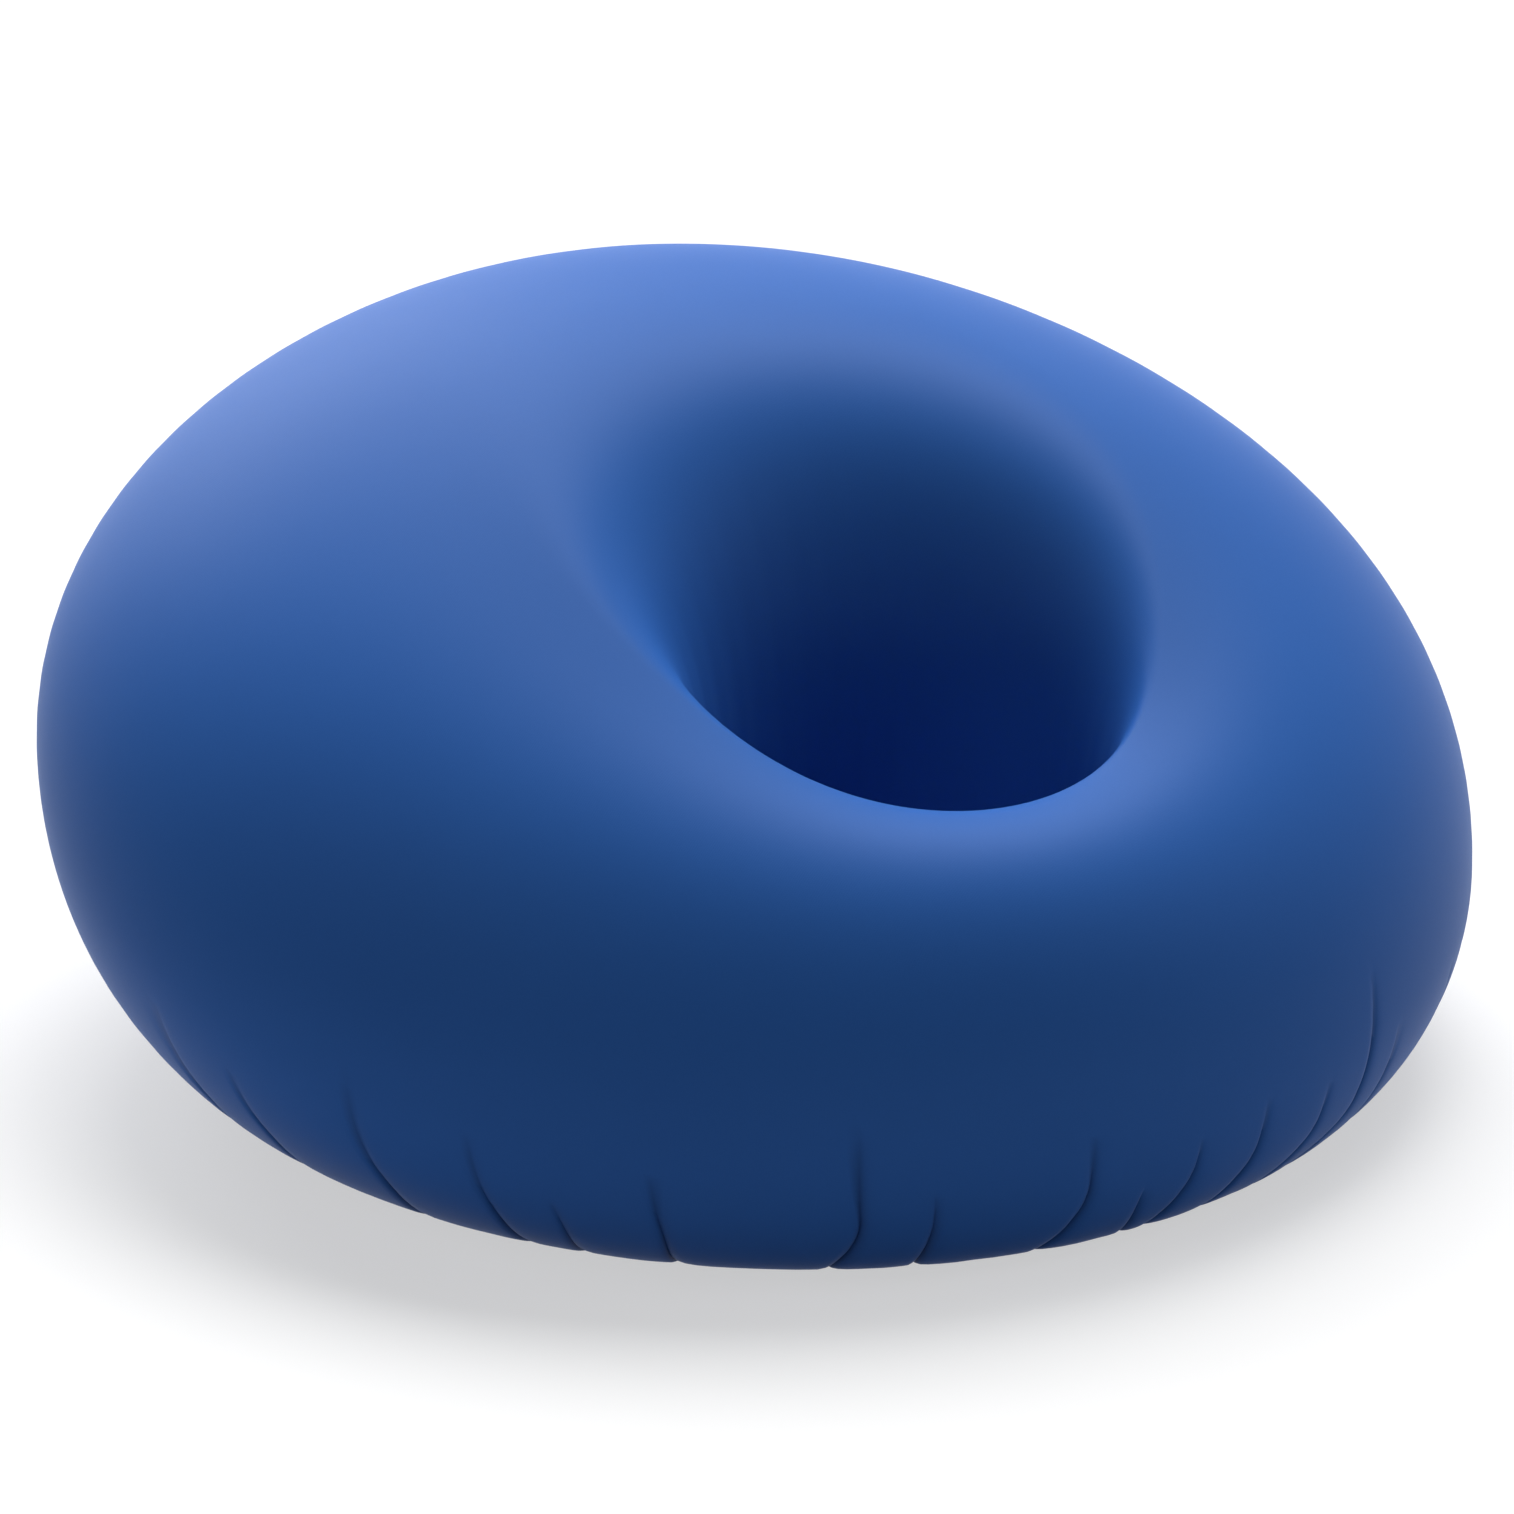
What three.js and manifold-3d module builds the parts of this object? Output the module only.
// A lounge chair made as one upholstered foam ring: a round outline, an off-centre hole, a low
// front lip and a high back. A plywood ring with five feet carries the foam, and a stretch cover
// is pulled over it, down through the hole and round under the edge, where a zip closes it.
// Units are millimetres. The floor is z = 0, +Z is up and the front faces -Y. The origin lies on
// the floor under the middle of the outline. Angles are in degrees and run from the front (-Y)
// over the right side (+X) to the back.
import * as THREE from 'three';
import { mergeVertices } from 'three/addons/utils/BufferGeometryUtils.js';
import Module from 'manifold-3d';

const wasm = await Module();
wasm.setup();

// Clearances and layers
const gap = 0.3;
const overrun = 5;
const coverThickness = 2;
const waddingThickness = 10;

// The form follows four rings, each an ellipse seen from above: the throat is the narrowest
// place of the hole, the crown is the highest line, the belt is the widest line, and the foot is
// where the side turns under. Heights change smoothly from the front over the sides to the back.
// The crown and the foot keep their distance from the throat at the front, where the ring is
// narrowest.
const holeCentre = -280;
const throatRadius = 160;
const throatLevel = 236;
const footRadius = 441;
const underside = 12;
const frontShoulder = 12;
const sideShoulder = 112;
const crownBack = 216;
const frontFootDistance = 116;
const throatFront = holeCentre - throatRadius;
const crownFront = throatFront - frontShoulder;
const baseCentre = throatFront - frontFootDistance + footRadius;
const level = (height) => ({ front: height, side: height, back: height });
const round = (radius) => ({ halfWidth: radius, halfDepth: radius });
const throat = { centre: holeCentre, ...round(throatRadius), height: level(throatLevel) };
const crown = {
  centre: (crownFront + crownBack) / 2,
  halfWidth: throatRadius + sideShoulder,
  halfDepth: (crownBack - crownFront) / 2,
  height: { front: 350, side: 451, back: 636 },
};
const belt = { centre: 0, halfWidth: 625, halfDepth: 604, height: { front: 158, side: 170, back: 394 } };
const foot = { centre: baseCentre, ...round(footRadius), height: level(underside) };

// How far each curve between two rings keeps its first direction, as a share of the way
const fullnessShare = {
  throatUp: { front: 0.57, side: 0.56, back: 0.76 },
  crownIn: { front: 0.56, side: 0.55, back: 0.77 },
  crownOut: { front: 0.65, side: 0.59, back: 0.53 },
  beltUp: { front: 0.48, side: 0.515, back: 0.55 },
  beltDown: { front: 0.45, side: 0.505, back: 0.56 },
  footOut: { front: 0.57, side: 0.53, back: 0.49 },
};

// Steps round the ring, closer together at the front where the ring is narrow, and the places
// along each curve where a row of points lies
const fineSteps = 72;
const frontBunchingShare = 0.25;
const innerRowShares = [0.28, 0.52, 0.76];
const upperRowShares = [0.34, 0.68];
const lowerRowShares = [0.40, 0.72];

// Pleats in the cover's gathered lower edge: one crease and two puffs in every three fine steps
const stepsPerPleat = 3;
const pleatDepth = 5;
const pleatStartShare = 0.5;
const creaseShare = 0.2;

// The recess under the seat, which holds the base ring, its feet and the zip
const rimWidth = 41;
const boardInset = 29;
const boardLevel = 31;
const boardThickness = 18;
const recessHeadroom = 2.5;
const clothThickness = 1;
const clothOverhang = 4;
const hookTapeThickness = 2;
const ventRadius = 16;
const ventInset = 121;
const ventAngles = [100, 140, 180, 220, 260];

// Five feet on one circle, each a plastic glide with a steel stud in a tee nut
const feetCount = 5;
const feetInset = 31;
const soleRadius = 17;
const soleEdge = 3;
const footTopRadius = 20;
const studRadius = 4;
const studHeadRadius = 10;
const studHeadThickness = 4;
const studPocketDepth = 6;
const nutBarrelRadius = 5.4;
const nutBarrelLength = 13;
const nutFlangeRadius = 11;
const nutFlangeThickness = 1.5;

// Firm foam blocks inside the soft foam
const seatCoreInset = 41;
const seatCoreHoleWall = 45;
const seatCoreHeight = 100;
const seatCoreTipWidth = 30;
const backCoreHoleWall = 150;
const backCoreThickness = 170;
const backCoreTopWall = 216;
const backCoreHalfSpread = 52;

// The zip runs round the recess, open at its middle line between two rows of coil
const zipInset = 18;
const zipStart = 30;
const zipEnd = 330;
const zipStopInset = 1;
const zipParkInset = 4;
const tapeWidth = 10.8;
const tapeThickness = 1;
const coilWidth = 2;
const coilHeight = 2.6;
const coilGap = 2.4;
const bridgeGap = 1;

// The slider and its pull
const sliderLength = 14;
const sliderFrontWidth = 10;
const sliderRearWidth = 9;
const sliderPlate = 1.5;
const sliderPlay = 0.4;
const sliderChannelWidth = 8.2;
const sliderWebThickness = 1.2;
const sliderWebLength = 9;
const bailOpening = 2.2;
const bailThickness = 1.6;
const bailWidth = 2.4;
const bailInnerLength = 8;
const pullBar = 1.4;
const pullWindowWidth = 3.6;
const pullWindowLength = 6.5;
const pullRailWidth = 1.2;
const pullLength = 17;
const pullHoleRadius = 1.2;

// Stops at the two ends of the zip
const stopLength = 3;
const stopWidth = 8.8;
const stopPlate = 1;

// Faces round the turned pieces
const footSides = 20;
const studSides = 12;
const baseSides = 72;
const zipSteps = 60;
const sliderCurveSteps = 4;

// Levels that follow from the sizes above
const boardTop = boardLevel + boardThickness;
const clothTop = boardLevel - gap;
const clothLevel = clothTop - clothThickness;
const tapeTop = clothLevel - gap;
const tapeMiddle = tapeTop - tapeThickness / 2;
const ceiling = boardLevel + recessHeadroom;
const padLevel = boardTop + gap;
const recessRadius = footRadius - rimWidth;
const boardRadius = recessRadius - boardInset;
const zipRadius = recessRadius - zipInset;
const zipPark = zipStart + zipParkInset;
const flangeRadius = zipRadius + coilGap / 2 + coilWidth + gap + tapeWidth / 2;
const feetCircleRadius = boardRadius - feetInset;
const ventCircleRadius = boardRadius - ventInset;
const seatCoreRadius = boardRadius - seatCoreInset;
const seatCoreHoleRadius = throatRadius + seatCoreHoleWall;
const seatCoreTop = padLevel + seatCoreHeight;
const backCoreInnerRadius = throatRadius + backCoreHoleWall;
const backCoreOuterRadius = backCoreInnerRadius + backCoreThickness;
const backCoreLow = seatCoreTop + gap;
const backCoreTop = crown.height.back - backCoreTopWall;

const chair = new THREE.Group();

// Materials
function finish(color, roughness, metalness = 0) {
  return new THREE.MeshStandardMaterial({ color, roughness, metalness });
}

const blueFabric = finish(0x2a63b4, 0.85);
const waddingWhite = finish(0xe9e7e0, 0.95);
const softFoam = finish(0xe6dcb4, 0.95);
const firmFoam = finish(0xb9c7b0, 0.95);
const plywood = finish(0xc9a36a, 0.6);
const blackCloth = finish(0x1d1e21, 0.95);
const navyTape = finish(0x1f3d73, 0.9);
const nickel = finish(0xb9bcc0, 0.3, 1);
const zincSteel = finish(0x9fa3a6, 0.4, 1);
const blackPlastic = finish(0x17181a, 0.5);

function addPiece(name, geometry, material) {
  const piece = new THREE.Mesh(geometry, material);
  piece.name = name;
  chair.add(piece);
  return piece;
}

const radians = THREE.MathUtils.degToRad;

// Joins closed loops of points into one closed surface. Neighbouring loops have as many points
// each, or one has twice as many as the other. With caps the first and last loop are filled in,
// otherwise the last loop joins the first. From the loop numbered turnedFrom on, each square is
// split along its other diagonal, so that the two faces of a layer that runs there and back match.
function skin(loops, { caps = null, turnedFrom = Infinity } = {}) {
  const positions = [];
  const starts = loops.map((loop) => {
    const start = positions.length / 3;
    loop.forEach((point) => positions.push(point.x, point.y, point.z));
    return start;
  });
  const faces = [];
  const strips = caps ? loops.length - 1 : loops.length;
  for (let k = 0; k < strips; k += 1) {
    const next = (k + 1) % loops.length;
    const steps = Math.max(loops[k].length, loops[next].length);
    const corner = (loop, step) => {
      const ratio = loops[loop].length / steps;
      return starts[loop] + (Math.round(step * ratio) % loops[loop].length);
    };
    for (let i = 0; i < steps; i += 1) {
      const a = corner(k, i);
      const b = corner(k, i + 1);
      const c = corner(next, i + 1);
      const d = corner(next, i);
      const isTurned = k >= turnedFrom;
      if (a !== b) faces.push([a, b, isTurned ? d : c]);
      if (c !== d) faces.push([isTurned ? b : a, c, d]);
    }
  }
  if (caps) {
    const end = starts[loops.length - 1];
    caps.forEach(([a, b, c]) => faces.push([a, c, b], [end + a, end + b, end + c]));
  }
  const at = (i) => new THREE.Vector3(positions[3 * i], positions[3 * i + 1], positions[3 * i + 2]);
  const volume = faces.reduce((sum, [a, b, c]) => sum + at(a).dot(at(b).cross(at(c))), 0);
  if (volume < 0) faces.forEach((face) => face.reverse());
  const geometry = new THREE.BufferGeometry();
  geometry.setAttribute('position', new THREE.Float32BufferAttribute(positions, 3));
  geometry.setIndex(faces.flat());
  geometry.computeVertexNormals();
  return geometry;
}

// Boolean cuts and joins of closed meshes
function toSolid(geometry) {
  const bare = geometry.clone();
  bare.deleteAttribute('normal');
  bare.deleteAttribute('uv');
  const merged = mergeVertices(bare);
  const vertProperties = Float32Array.from(merged.attributes.position.array);
  const triVerts = Uint32Array.from(merged.index.array);
  return new wasm.Manifold(new wasm.Mesh({ numProp: 3, vertProperties, triVerts }));
}

function toGeometry(solid) {
  const mesh = solid.getMesh();
  const geometry = new THREE.BufferGeometry();
  geometry.setAttribute('position', new THREE.BufferAttribute(Float32Array.from(mesh.vertProperties), 3));
  geometry.setIndex(new THREE.BufferAttribute(Uint32Array.from(mesh.triVerts), 1));
  geometry.computeVertexNormals();
  return geometry;
}

function cut(geometry, tools) {
  return toGeometry(tools.map(toSolid).reduce((solid, tool) => solid.subtract(tool), toSolid(geometry)));
}

function join(geometries) {
  return toGeometry(geometries.map(toSolid).reduce((solid, next) => solid.add(next)));
}

// Plain shapes
function block(length, width, low, high) {
  return new THREE.BoxGeometry(length, width, high - low).translate(0, 0, (low + high) / 2);
}

function plate(outline, holes, low, high) {
  const shape = new THREE.Shape(outline);
  shape.holes = holes.map((hole) => new THREE.Path(hole));
  return new THREE.ExtrudeGeometry(shape, { depth: high - low, bevelEnabled: false }).translate(0, 0, low);
}

function turned(profile, sides) {
  const points = profile.map(([radius, level]) => new THREE.Vector2(radius, level));
  return new THREE.LatheGeometry(points, sides).rotateX(Math.PI / 2);
}

// Places on the plan: a point at an angle and radius about a centre on the middle plane
function onCircle(centre, radius, angle) {
  return new THREE.Vector2(radius * Math.sin(radians(angle)), centre - radius * Math.cos(radians(angle)));
}

function arc(centre, radius, from, to, steps) {
  const step = (to - from) / steps;
  return Array.from({ length: steps + 1 }, (_, i) => onCircle(centre, radius, from + step * i));
}

function circle(centre, radius, sides) {
  return arc(centre, radius, 0, 360, sides).slice(0, sides);
}

function roundHole(middle, radius, sides) {
  return circle(0, radius, sides).map((point) => point.add(middle));
}

// The ring of angles about the hole's axis that every layer of the seat shares
const fineAngles = Array.from({ length: fineSteps }, (_, i) => {
  const even = (2 * Math.PI * i) / fineSteps;
  return THREE.MathUtils.radToDeg(even + frontBunchingShare * Math.sin(even));
});
const angles = fineAngles.filter((_, i) => i % 2 === 0);

function blend(values, angle) {
  const { front, side, back } = values;
  const lean = (front - back) / 2;
  const arch = ((front + back) / 2 - side) / 2;
  return side + arch + lean * Math.cos(radians(angle)) + arch * Math.cos(radians(2 * angle));
}

// Distance from the hole's axis to an ellipse, along the ray at an angle
function reach(ring, angle) {
  const centreShift = ring.centre - holeCentre;
  const across = Math.sin(radians(angle)) / ring.halfWidth;
  const along = -Math.cos(radians(angle)) / ring.halfDepth;
  const shift = centreShift / ring.halfDepth;
  const a = across ** 2 + along ** 2;
  const b = -2 * along * shift;
  const c = shift ** 2 - 1;
  return (-b + Math.sqrt(b ** 2 - 4 * a * c)) / (2 * a);
}

function circleReach(centre, radius, angle) {
  return reach({ centre, ...round(radius) }, angle);
}

// A section of the seat at an angle: x is the distance from the hole's axis and y is the height
function sectionCurves(angle) {
  const at = (ring) => new THREE.Vector2(reach(ring, angle), blend(ring.height, angle));
  const full = (name) => blend(fullnessShare[name], angle);
  const [waist, top, side, edge] = [throat, crown, belt, foot].map(at);
  const waistHandle = new THREE.Vector2(waist.x, THREE.MathUtils.lerp(waist.y, top.y, full('throatUp')));
  const crownInHandle = new THREE.Vector2(THREE.MathUtils.lerp(top.x, waist.x, full('crownIn')), top.y);
  const crownOutHandle = new THREE.Vector2(THREE.MathUtils.lerp(top.x, side.x, full('crownOut')), top.y);
  const beltUpHandle = new THREE.Vector2(side.x, THREE.MathUtils.lerp(side.y, top.y, full('beltUp')));
  const beltDownHandle = new THREE.Vector2(side.x, THREE.MathUtils.lerp(side.y, edge.y, full('beltDown')));
  const footHandle = new THREE.Vector2(THREE.MathUtils.lerp(edge.x, side.x, full('footOut')), edge.y);
  return {
    inner: new THREE.CubicBezierCurve(waist, waistHandle, crownInHandle, top),
    upper: new THREE.CubicBezierCurve(top, crownOutHandle, beltUpHandle, side),
    lower: new THREE.CubicBezierCurve(side, beltDownHandle, footHandle, edge),
  };
}

// The outer face of the upholstery in one section, from a level in the throat, up over the crown,
// round the foot and up the recess wall to another level
function seatPath(angle, throatLevel, recessLevel) {
  const { inner, upper, lower } = sectionCurves(angle);
  const recessReach = circleReach(baseCentre, recessRadius, angle);
  return [
    new THREE.Vector2(inner.v0.x, throatLevel),
    inner.v0,
    ...innerRowShares.map((t) => inner.getPoint(t)),
    inner.v3,
    ...upperRowShares.map((t) => upper.getPoint(t)),
    upper.v3,
    ...lowerRowShares.map((t) => lower.getPoint(t)),
    lower.v3,
    new THREE.Vector2(recessReach, underside),
    new THREE.Vector2(recessReach, recessLevel),
  ];
}

// A path moved to its right, with mitred corners. The right of a seat path is the padding, and
// the right of a closed outline that turns to the left is its outside.
function offset(path, distance, isClosed = false) {
  const sides = path.map((point, i) => {
    const way = path[(i + 1) % path.length].clone().sub(point).normalize();
    return new THREE.Vector2(way.y, -way.x);
  });
  return path.map((point, i) => {
    const isFirst = i === 0 && !isClosed;
    const isLast = i === path.length - 1 && !isClosed;
    const before = isFirst ? sides[i] : sides.at(i - 1);
    const after = isLast ? sides.at(i - 1) : sides[i];
    const mitre = before.clone().add(after).divideScalar(1 + before.dot(after));
    return point.clone().addScaledVector(mitre, distance);
  });
}

// From a section to space, about the hole's axis or about the base's
function place(point, angle, centre = holeCentre) {
  const spot = onCircle(centre, point.x, angle);
  return new THREE.Vector3(spot.x, spot.y, point.y);
}

// The pleats reach over two rows of a seat path. In every layer these rows have a point at each
// fine step and the others at every second one, so that the layers keep their distance there.
const recessRows = 2;
const footRow = seatPath(0, boardLevel, clothLevel).length - 1 - recessRows;
const firstPleatRow = footRow - 1;
const pleatRows = [firstPleatRow, footRow];

// A closed ring with the section that a function gives at each angle, joined row by row
function ringOf(section, fineRows = [], turnedFrom = Infinity) {
  const sections = fineAngles.map((angle, step) => section(angle, step).map((point) => place(point, angle)));
  const loop = (row) => sections
    .filter((_, step) => fineRows.includes(row) || step % 2 === 0)
    .map((points) => points[row]);
  return skin(sections[0].map((_, row) => loop(row)), { turnedFrom });
}

// A closed ring between an outer and an inner path with as many points each
function bandOf(sides) {
  const rowCount = sides(0, 0).outer.length;
  const fineRows = pleatRows.flatMap((row) => [row, 2 * rowCount - 1 - row]);
  return ringOf((angle, step) => {
    const { outer, inner } = sides(angle, step);
    return [...outer, ...inner.reverse()];
  }, fineRows, rowCount);
}

// A padding layer: the band between two depths under the outer face
function layer(depth, thickness, throatLevel, recessLevel) {
  return bandOf((angle) => {
    const path = seatPath(angle, throatLevel, recessLevel);
    return { outer: offset(path, depth), inner: offset(path, depth + thickness) };
  });
}

// The cover, with its gathered edge
function makeCover() {
  return bandOf((angle, step) => {
    const path = seatPath(angle, boardLevel, clothLevel);
    path.push(new THREE.Vector2(circleReach(baseCentre, flangeRadius, angle), clothLevel));
    const back = offset(path, coverThickness);
    const puff = pleatDepth * (step % stepsPerPleat === 0 ? creaseShare : 1);
    const puffed = offset(path, -puff);
    const raise = (row, share) => {
      const move = puffed[row].clone().sub(path[row]).multiplyScalar(share);
      path[row].add(move);
      back[row].add(move);
    };
    raise(firstPleatRow, pleatStartShare);
    raise(footRow, 1);
    return { outer: path, inner: back };
  });
}

// Foam blocks: a crescent behind the hole under the seat, and a curved block in the back. The
// crescent ends where the wall between its two arcs has narrowed to the width of its tips.
const tipReach = seatCoreHoleRadius + seatCoreTipWidth;
const centreDistance = baseCentre - holeCentre;
const tipSpan = seatCoreRadius ** 2 - centreDistance ** 2 - tipReach ** 2;
const tipAngle = THREE.MathUtils.radToDeg(Math.acos(tipSpan / (2 * centreDistance * tipReach)));
const tip = onCircle(holeCentre, tipReach, tipAngle);
const tipBaseAngle = THREE.MathUtils.radToDeg(Math.atan2(tip.x, baseCentre - tip.y));
const seatCoreOutline = [
  ...arc(baseCentre, seatCoreRadius, tipBaseAngle, 360 - tipBaseAngle, baseSides / 2),
  ...arc(holeCentre, seatCoreHoleRadius, 360 - tipAngle, tipAngle, baseSides / 3),
];
const backCoreOutline = [
  ...arc(holeCentre, backCoreOuterRadius, 180 - backCoreHalfSpread, 180 + backCoreHalfSpread, baseSides / 4),
  ...arc(holeCentre, backCoreInnerRadius, 180 + backCoreHalfSpread, 180 - backCoreHalfSpread, baseSides / 4),
];

function makeFoam() {
  const depth = coverThickness + gap + waddingThickness + gap;
  const ring = ringOf((angle) => {
    const path = offset(seatPath(angle, padLevel - overrun, ceiling), depth);
    const pocketPoint = new THREE.Vector2(circleReach(baseCentre, boardRadius - overrun, angle), ceiling);
    return [...path, pocketPoint];
  }, pleatRows);
  const boardPocket = plate(circle(baseCentre, boardRadius + gap, baseSides), [], 0, padLevel);
  const seatPocket = plate(offset(seatCoreOutline, gap, true), [], padLevel - overrun, seatCoreTop + gap);
  const backPocket = plate(offset(backCoreOutline, gap, true), [], seatCoreTop, backCoreTop + gap);
  return cut(ring, [boardPocket, seatPocket, backPocket]);
}

// The plywood ring, with counterbored holes for the tee nuts and vents that let the foam breathe
const feetAngles = Array.from({ length: feetCount }, (_, i) => 180 + (360 * i) / feetCount);
const feetPlaces = feetAngles.map((angle) => onCircle(baseCentre, feetCircleRadius, angle));
const boardHoleReach = throat.halfWidth + coverThickness + 2 * hookTapeThickness + 3 * gap;
const holeOutline = (radius) => angles.map((angle) => onCircle(holeCentre, radius, angle));
const nutSeat = nutFlangeThickness + gap;

function makeBoard() {
  const ventPlaces = ventAngles.map((angle) => onCircle(baseCentre, ventCircleRadius, angle));
  const vents = ventPlaces.map((spot) => roundHole(spot, ventRadius, footSides));
  const bores = feetPlaces.map((spot) => roundHole(spot, nutBarrelRadius + gap, studSides));
  const holes = [holeOutline(boardHoleReach), ...vents, ...bores];
  const ring = plate(circle(baseCentre, boardRadius, baseSides), holes, boardLevel, boardTop);
  const seats = feetPlaces.map((spot) => {
    const outline = roundHole(spot, nutFlangeRadius + gap, footSides);
    return plate(outline, [], boardTop - nutSeat, boardTop + overrun);
  });
  return cut(ring, seats);
}

function makeBaseCloth() {
  const holes = feetPlaces.map((spot) => roundHole(spot, studRadius + gap, studSides));
  holes.push(holeOutline(boardHoleReach + clothThickness));
  return plate(circle(baseCentre, boardRadius + clothOverhang, baseSides), holes, clothLevel, clothTop);
}

// A tape standing on edge against the wall of the board's hole
function holeTape(depth) {
  const near = throat.halfWidth + coverThickness + depth;
  const far = near + hookTapeThickness;
  const low = boardLevel + gap;
  const high = boardTop - gap;
  const corners = [[near, low], [far, low], [far, high], [near, high]];
  const section = corners.map(([x, y]) => new THREE.Vector2(x, y));
  return ringOf(() => section);
}

// Feet
function addFoot(index, spot) {
  const top = clothLevel - gap;
  const pocketFloor = top - studPocketDepth;
  const glide = turned([
    [0, 0], [soleRadius - soleEdge, 0], [soleRadius, soleEdge], [footTopRadius, top],
    [studHeadRadius + gap, top], [studHeadRadius + gap, pocketFloor], [0, pocketFloor],
  ], footSides);
  const headLow = pocketFloor + gap;
  const headHigh = headLow + studHeadThickness;
  const studTop = boardTop - gap - nutFlangeThickness;
  const stud = turned([
    [0, headLow], [studHeadRadius, headLow], [studHeadRadius, headHigh], [studRadius, headHigh],
    [studRadius, studTop], [0, studTop],
  ], studSides);
  const flangeTop = boardTop - gap;
  const flangeLow = flangeTop - nutFlangeThickness;
  const bore = studRadius + gap;
  const barrelLow = flangeTop - nutBarrelLength;
  const nut = turned([
    [bore, barrelLow], [nutBarrelRadius, barrelLow], [nutBarrelRadius, flangeLow],
    [nutFlangeRadius, flangeLow], [nutFlangeRadius, flangeTop], [bore, flangeTop], [bore, barrelLow],
  ], studSides);
  const pieces = [
    addPiece(`foot_glide_${index}`, glide, blackPlastic),
    addPiece(`foot_stud_${index}`, stud, zincSteel),
    addPiece(`tee_nut_${index}`, nut, zincSteel),
  ];
  pieces.forEach((piece) => piece.position.set(spot.x, spot.y, 0));
}

// The zip. A profile in radius and height about the base's middle is swept along an arc.
function sweepArc(profile, from, to, steps) {
  const points = profile.map(([x, y]) => new THREE.Vector2(x, y));
  if (THREE.ShapeUtils.isClockWise(points)) points.reverse();
  const caps = THREE.ShapeUtils.triangulateShape(points, []);
  const loops = Array.from({ length: steps + 1 }, (_, i) => {
    const angle = from + ((to - from) * i) / steps;
    return points.map((point) => place(point, angle, baseCentre));
  });
  return skin(loops, { caps });
}

// One half of the zip: a flat tape with the coil along its edge. Side is 1 outwards, -1 inwards.
function zipHalf(side) {
  const coilNear = zipRadius + (side * coilGap) / 2;
  const coilFar = coilNear + side * coilWidth;
  const tapeFar = coilFar + side * tapeWidth;
  const [coilLow, coilHigh] = [tapeMiddle - coilHeight / 2, tapeMiddle + coilHeight / 2];
  const [tapeLow, tapeHigh] = [tapeMiddle - tapeThickness / 2, tapeMiddle + tapeThickness / 2];
  const profile = [
    [coilNear, coilLow], [coilFar, coilLow], [coilFar, tapeLow], [tapeFar, tapeLow],
    [tapeFar, tapeHigh], [coilFar, tapeHigh], [coilFar, coilHigh], [coilNear, coilHigh],
  ];
  return sweepArc(profile, zipStart, zipEnd, zipSteps);
}

// The strip that joins the cover to the base cloth at the front, between the zip's two ends
function makeHemBridge() {
  const half = coilGap / 2 + coilWidth + tapeWidth;
  const [near, far] = [zipRadius - half, zipRadius + half];
  const [low, high] = [tapeTop - tapeThickness, tapeTop];
  const profile = [[near, low], [far, low], [far, high], [near, high]];
  const end = zipStart - THREE.MathUtils.radToDeg(bridgeGap / zipRadius);
  return sweepArc(profile, -end, end, zipSteps / 6);
}

// Puts a piece that is made about its own upright axis on the zip's middle line. Its x runs
// along the zip and its -y points outwards.
function setOnZip(piece, angle, level = 0) {
  const spot = onCircle(baseCentre, zipRadius, angle);
  piece.position.set(spot.x, spot.y, level);
  piece.rotation.z = radians(angle);
}

// Slider: two shield-shaped plates with lips that grip the coils, joined by a web between them
const plateInner = coilHeight / 2 + sliderPlay;
const plateOuter = plateInner + sliderPlate;
const lipReach = tapeThickness / 2 + sliderPlay;

function makeSlider() {
  const half = sliderLength / 2;
  const outline = new THREE.Shape();
  outline.moveTo(-half, -sliderRearWidth / 2);
  outline.lineTo(-half / 2, -sliderRearWidth / 2);
  outline.quadraticCurveTo(half / 2, -sliderFrontWidth / 2, half / 2, -sliderFrontWidth / 2);
  outline.quadraticCurveTo(half, -sliderFrontWidth / 2, half, 0);
  outline.quadraticCurveTo(half, sliderFrontWidth / 2, half / 2, sliderFrontWidth / 2);
  outline.quadraticCurveTo(half / 2, sliderFrontWidth / 2, -half / 2, sliderRearWidth / 2);
  outline.lineTo(-half, sliderRearWidth / 2);
  const layerOf = (reach) => [tapeMiddle - reach, tapeMiddle + reach];
  const body = plate(outline.getPoints(sliderCurveSteps), [], ...layerOf(plateOuter));
  const channel = block(2 * sliderLength, sliderChannelWidth, ...layerOf(plateInner));
  const slot = block(2 * sliderLength, 2 * sliderFrontWidth, ...layerOf(lipReach));
  const web = block(sliderWebLength, sliderWebThickness, ...layerOf(plateOuter - gap));
  const bailTop = tapeMiddle - plateOuter;
  const openingLow = bailTop - bailOpening;
  const bailLength = bailInnerLength + 2 * bailThickness;
  const bail = block(bailLength, bailWidth, openingLow - bailThickness, bailTop + gap);
  const opening = block(bailInnerLength, 2 * bailWidth, openingLow, bailTop);
  return join([cut(body, [channel, slot]), web, cut(bail, [opening])]);
}

// Pull: a flat tab that hangs by its top bar in the slider's bail, with a window for the bail
const pivotLevel = tapeMiddle - plateOuter - bailOpening / 2;

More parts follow.
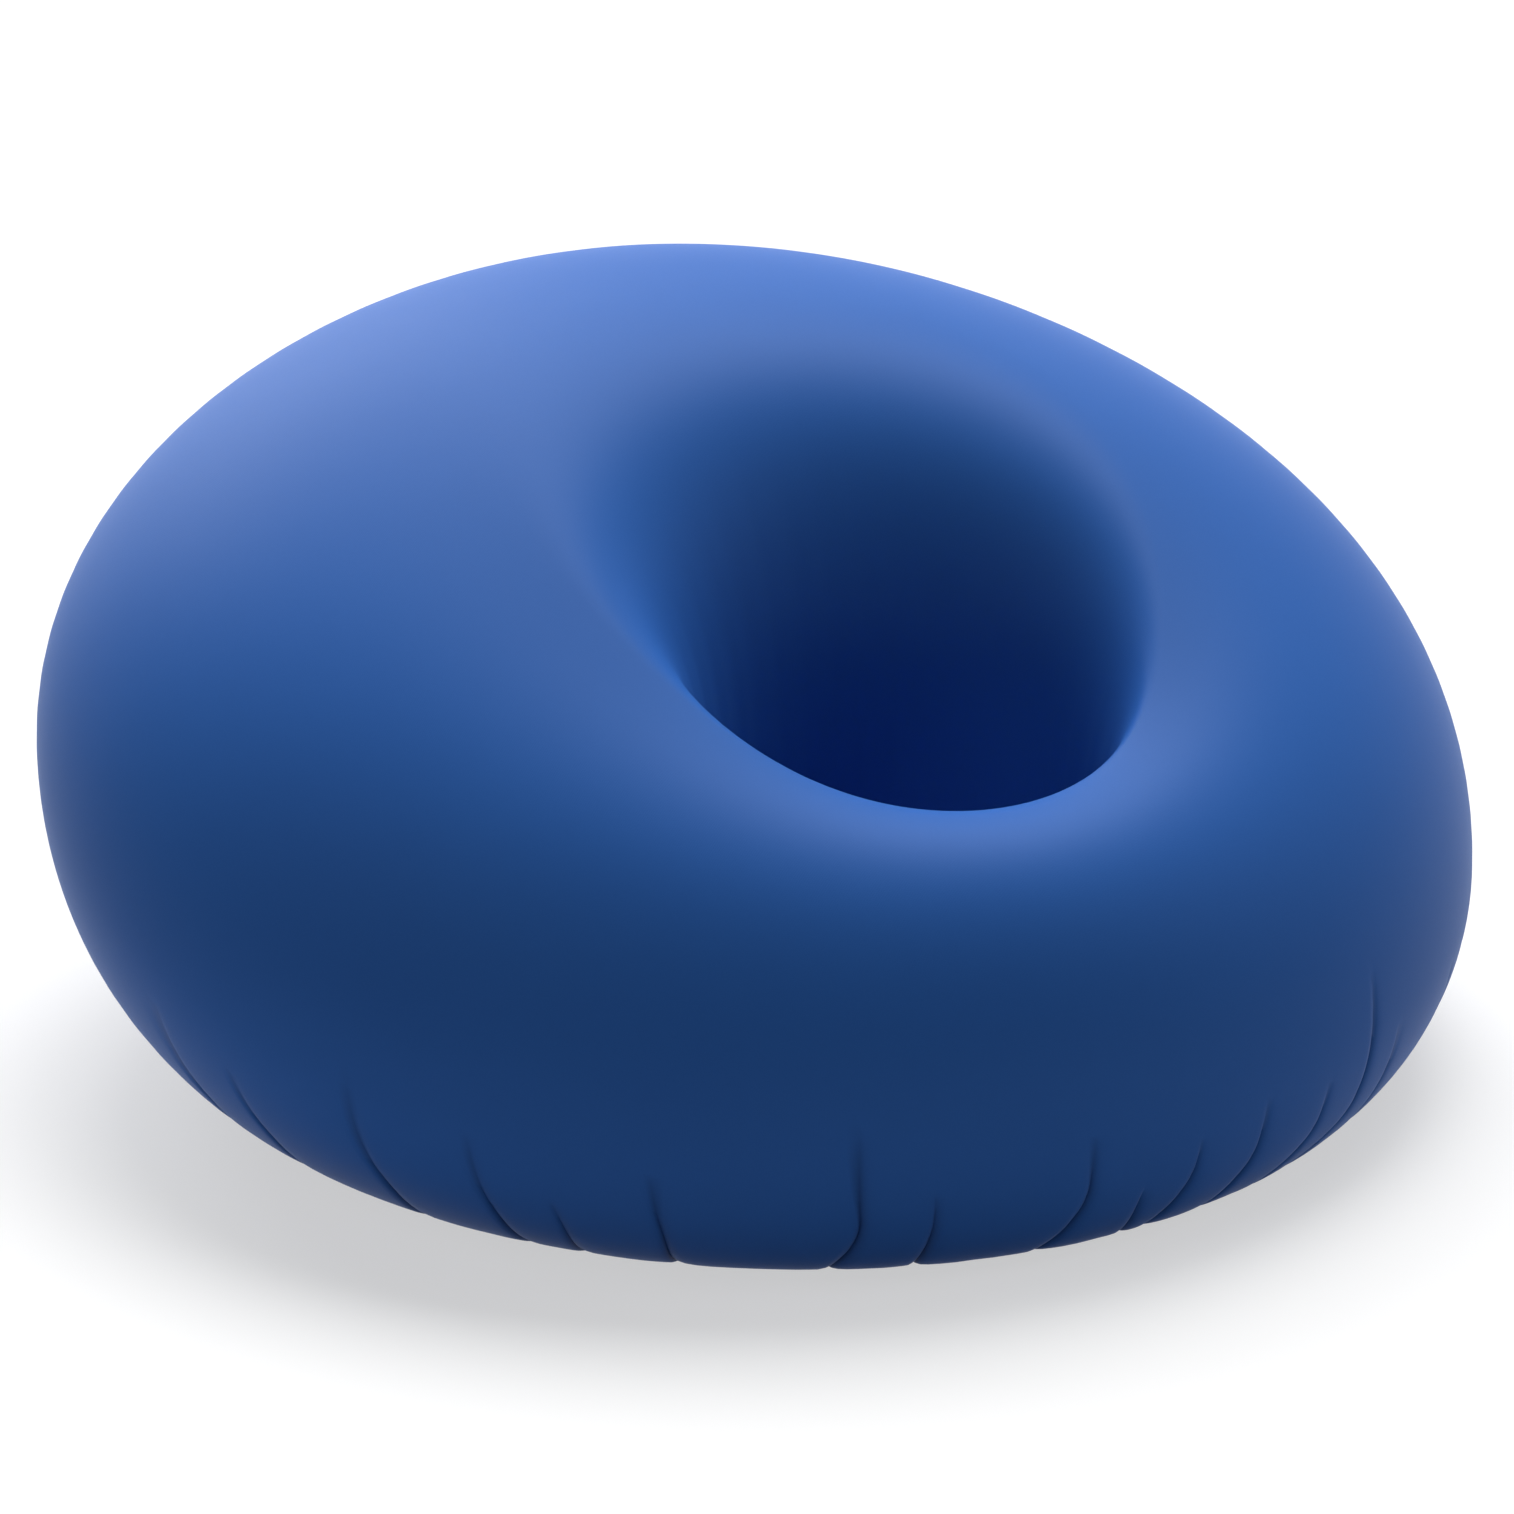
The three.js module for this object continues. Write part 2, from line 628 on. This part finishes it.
function makePull() {
  const halfWidth = pullWindowWidth / 2 + pullRailWidth;
  const top = pullBar / 2;
  const bottom = top - pullLength;
  const outline = new THREE.Shape();
  outline.moveTo(-halfWidth, top);
  outline.lineTo(-halfWidth, bottom + halfWidth);
  outline.absarc(0, bottom + halfWidth, halfWidth, Math.PI, 2 * Math.PI);
  outline.lineTo(halfWidth, top);
  const windowHalf = pullWindowWidth / 2;
  const windowTop = -pullBar / 2;
  const windowLow = windowTop - pullWindowLength;
  const corners = [[-1, windowTop], [-1, windowLow], [1, windowLow], [1, windowTop]];
  const windowHole = corners.map(([side, y]) => new THREE.Vector2(side * windowHalf, y));
  const hole = roundHole(new THREE.Vector2(0, bottom + halfWidth), pullHoleRadius, studSides);
  const holes = [windowHole, hole];
  const tab = plate(outline.getPoints(studSides / 2), holes, -pullBar / 2, pullBar / 2);
  return tab.rotateX(Math.PI / 2).rotateZ(Math.PI / 2);
}

// A metal stop clamped round both coils
function makeStop() {
  const near = coilHeight / 2 + gap;
  const far = near + stopPlate;
  const whole = block(stopLength, stopWidth, tapeMiddle - far, tapeMiddle + far);
  const side = block(2 * stopLength, stopWidth, tapeMiddle - near, tapeMiddle + near);
  const shift = stopWidth / 2 + sliderWebThickness / 2;
  return cut(whole, [side.clone().translate(0, shift, 0), side.translate(0, -shift, 0)]);
}

// The chair
addPiece('cover', makeCover(), blueFabric);
addPiece('wadding', layer(coverThickness + gap, waddingThickness, padLevel, ceiling - gap), waddingWhite);
addPiece('foam_body', makeFoam(), softFoam);
addPiece('seat_core', plate(seatCoreOutline, [], padLevel, seatCoreTop), firmFoam);
addPiece('back_core', plate(backCoreOutline, [], backCoreLow, backCoreTop), firmFoam);
addPiece('base_board', makeBoard(), plywood);
addPiece('base_cloth', makeBaseCloth(), blackCloth);
addPiece('loop_tape', holeTape(gap), navyTape);
addPiece('hook_tape', holeTape(hookTapeThickness + 2 * gap), blackCloth);
feetPlaces.forEach((spot, i) => addFoot(i + 1, spot));
addPiece('zip_half_inner', zipHalf(-1), blackCloth);
addPiece('zip_half_outer', zipHalf(1), navyTape);
addPiece('hem_bridge', makeHemBridge(), navyTape);
setOnZip(addPiece('zip_start_stop', makeStop(), nickel), zipStart + zipStopInset);
setOnZip(addPiece('zip_end_stop', makeStop(), nickel), zipEnd - zipStopInset);
setOnZip(addPiece('zip_slider', makeSlider(), nickel), zipPark);
setOnZip(addPiece('zip_pull', makePull(), nickel), zipPark, pivotLevel);

export default chair;
